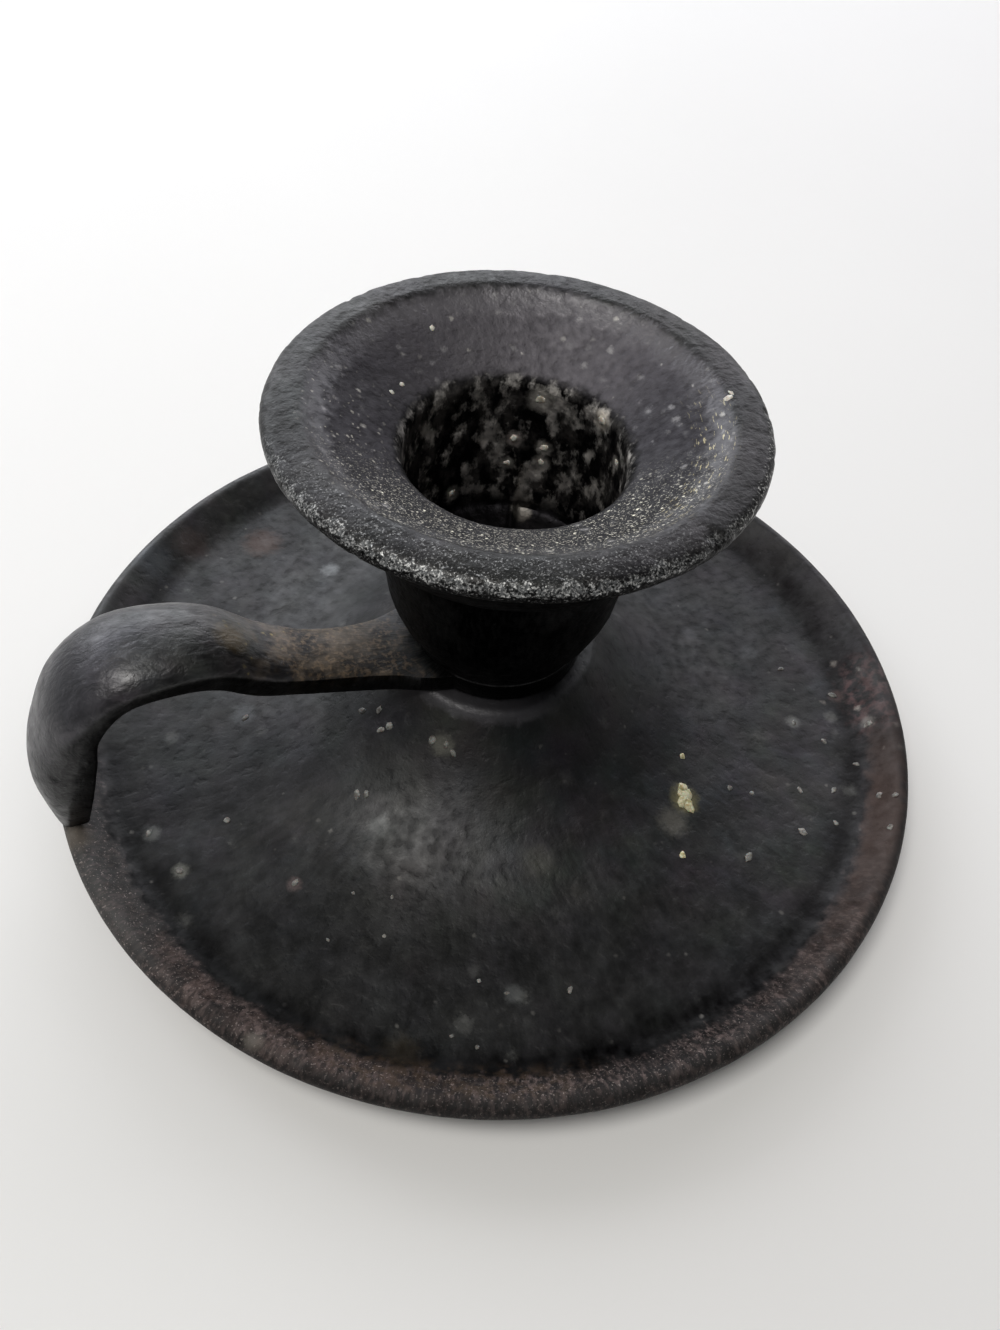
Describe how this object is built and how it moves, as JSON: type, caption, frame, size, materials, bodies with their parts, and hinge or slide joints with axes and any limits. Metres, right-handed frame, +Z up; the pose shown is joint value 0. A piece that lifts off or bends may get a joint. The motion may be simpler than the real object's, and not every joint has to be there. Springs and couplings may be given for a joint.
{
  "type": "chamberstick",
  "caption": "Low cast-iron chamberstick: flared candle socket with a wax dish, strap handle with a clamped round eye, and a round drip pan on a flat ring, screwed together from below.",
  "frame": {"origin": "on the table, under the middle of the pan and on the candle bore's axis", "axes": "+Z up along the candle bore; the handle points to -X; +Y is square to the handle's plane"},
  "size_m": [0.105, 0.104, 0.0491],
  "materials": {
    "pan_iron": "satin",
    "handle_iron": "satin",
    "socket_iron": "satin",
    "screw_steel": "aged",
    "washer_steel": "aged"
  },
  "bodies": {
    "root": {"drip_pan": "pan_iron", "handle": "handle_iron", "candle_socket": "socket_iron", "base_screw": "screw_steel", "base_washer": "washer_steel"}
  },
  "joints": []
}
